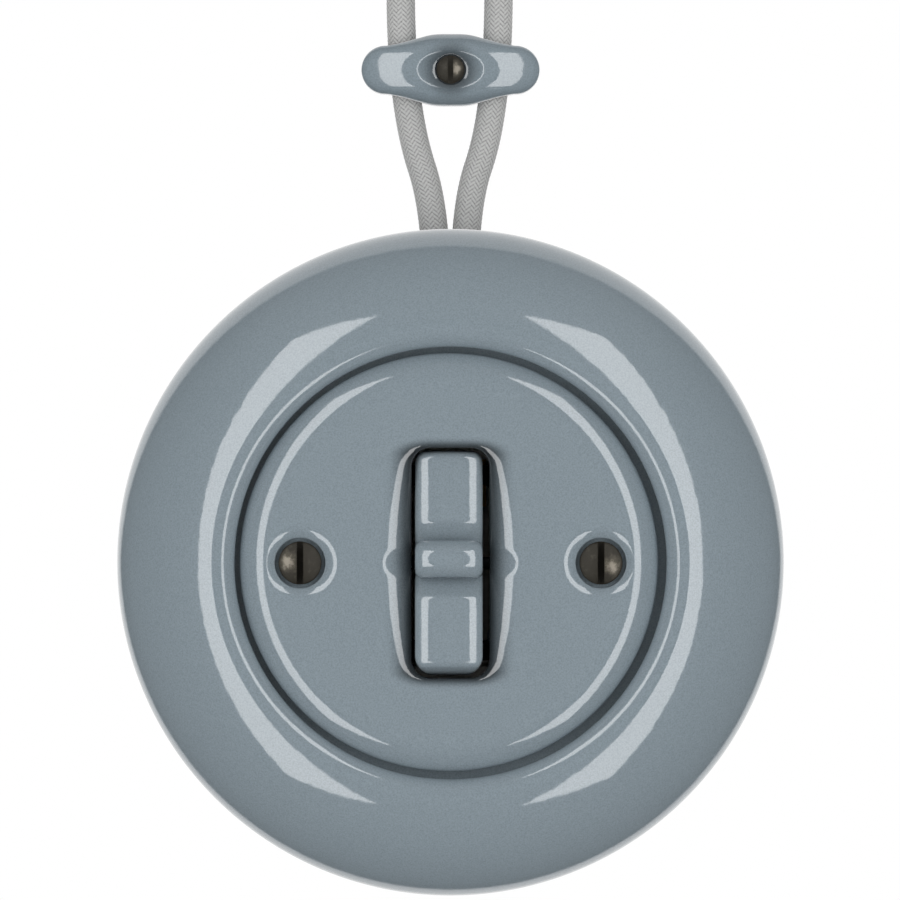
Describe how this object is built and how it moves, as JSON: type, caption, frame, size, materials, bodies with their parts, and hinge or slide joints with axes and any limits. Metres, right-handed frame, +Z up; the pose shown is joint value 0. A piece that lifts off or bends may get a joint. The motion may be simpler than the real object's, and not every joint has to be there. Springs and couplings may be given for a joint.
{
  "type": "surface-mounted toggle switch",
  "caption": "Round glazed porcelain toggle switch with a rocker in a slotted cover plate, fed from above by two braided cords held in a small glazed clip.",
  "frame": {"origin": "centre of the base's back face, on the wall", "axes": "+Z up the wall, +X to the right seen from the front, +Y into the wall"},
  "size_m": [0.12, 0.0471, 0.1802],
  "materials": {
    "glaze": "gloss",
    "bronze": "aged, dark",
    "brass": "plain",
    "steel": "zinc",
    "blackened": "blackened",
    "silver": "bright",
    "copper": "drawn wire",
    "insulator": "unglazed",
    "braid": "herringbone braid"
  },
  "bodies": {
    "housing": {"wall_base": "insulator", "surround": "glaze", "cover_plate": "glaze", "cover_screws": "bronze", "mounting_frame": "blackened", "frame_screws": "steel", "pivot_pin": "blackened", "fulcrum_bracket": "brass", "fixed_contact": "brass", "contact_stop": "insulator", "switch_body": "insulator", "body_screws": "steel", "terminal_left": "brass", "terminal_right": "brass", "terminal_screws": "steel", "core_ends": "copper", "cord_clamp": "steel", "clamp_screws": "steel", "cord_left": "braid", "cord_right": "braid", "cleat_base": "glaze", "cleat_cap": "glaze", "cleat_screw": "bronze", "wall_cap_left": "glaze", "wall_cap_right": "glaze"},
    "rocker": {"rocker": "glaze", "rocker_carrier": "brass", "plunger_spring": "steel"},
    "plunger": {"plunger": "steel"},
    "blade": {"contact_blade": "brass", "blade_rivets": "silver"}
  },
  "joints": [
    {"name": "rocker_tilt", "type": "hinge", "parent": "housing", "child": "rocker", "pos_m": [0, -0.0369, 0], "axis": [1, 0, 0], "range_deg": [0, 13]},
    {"name": "blade_rock", "type": "hinge", "parent": "housing", "child": "blade", "pos_m": [0, -0.0163, 0], "axis": [1, 0, 0], "range_deg": [-16, 0]},
    {"name": "plunger_slide", "type": "slide", "parent": "rocker", "child": "plunger", "axis": [0, -0.9936, 0.1132], "range_m": [0, 0.0006], "stiffness_N_per_m": 100}
  ],
  "couplings": [
    {"joint": "blade_rock", "follows": "rocker_tilt", "ratio": -1.2308}
  ]
}
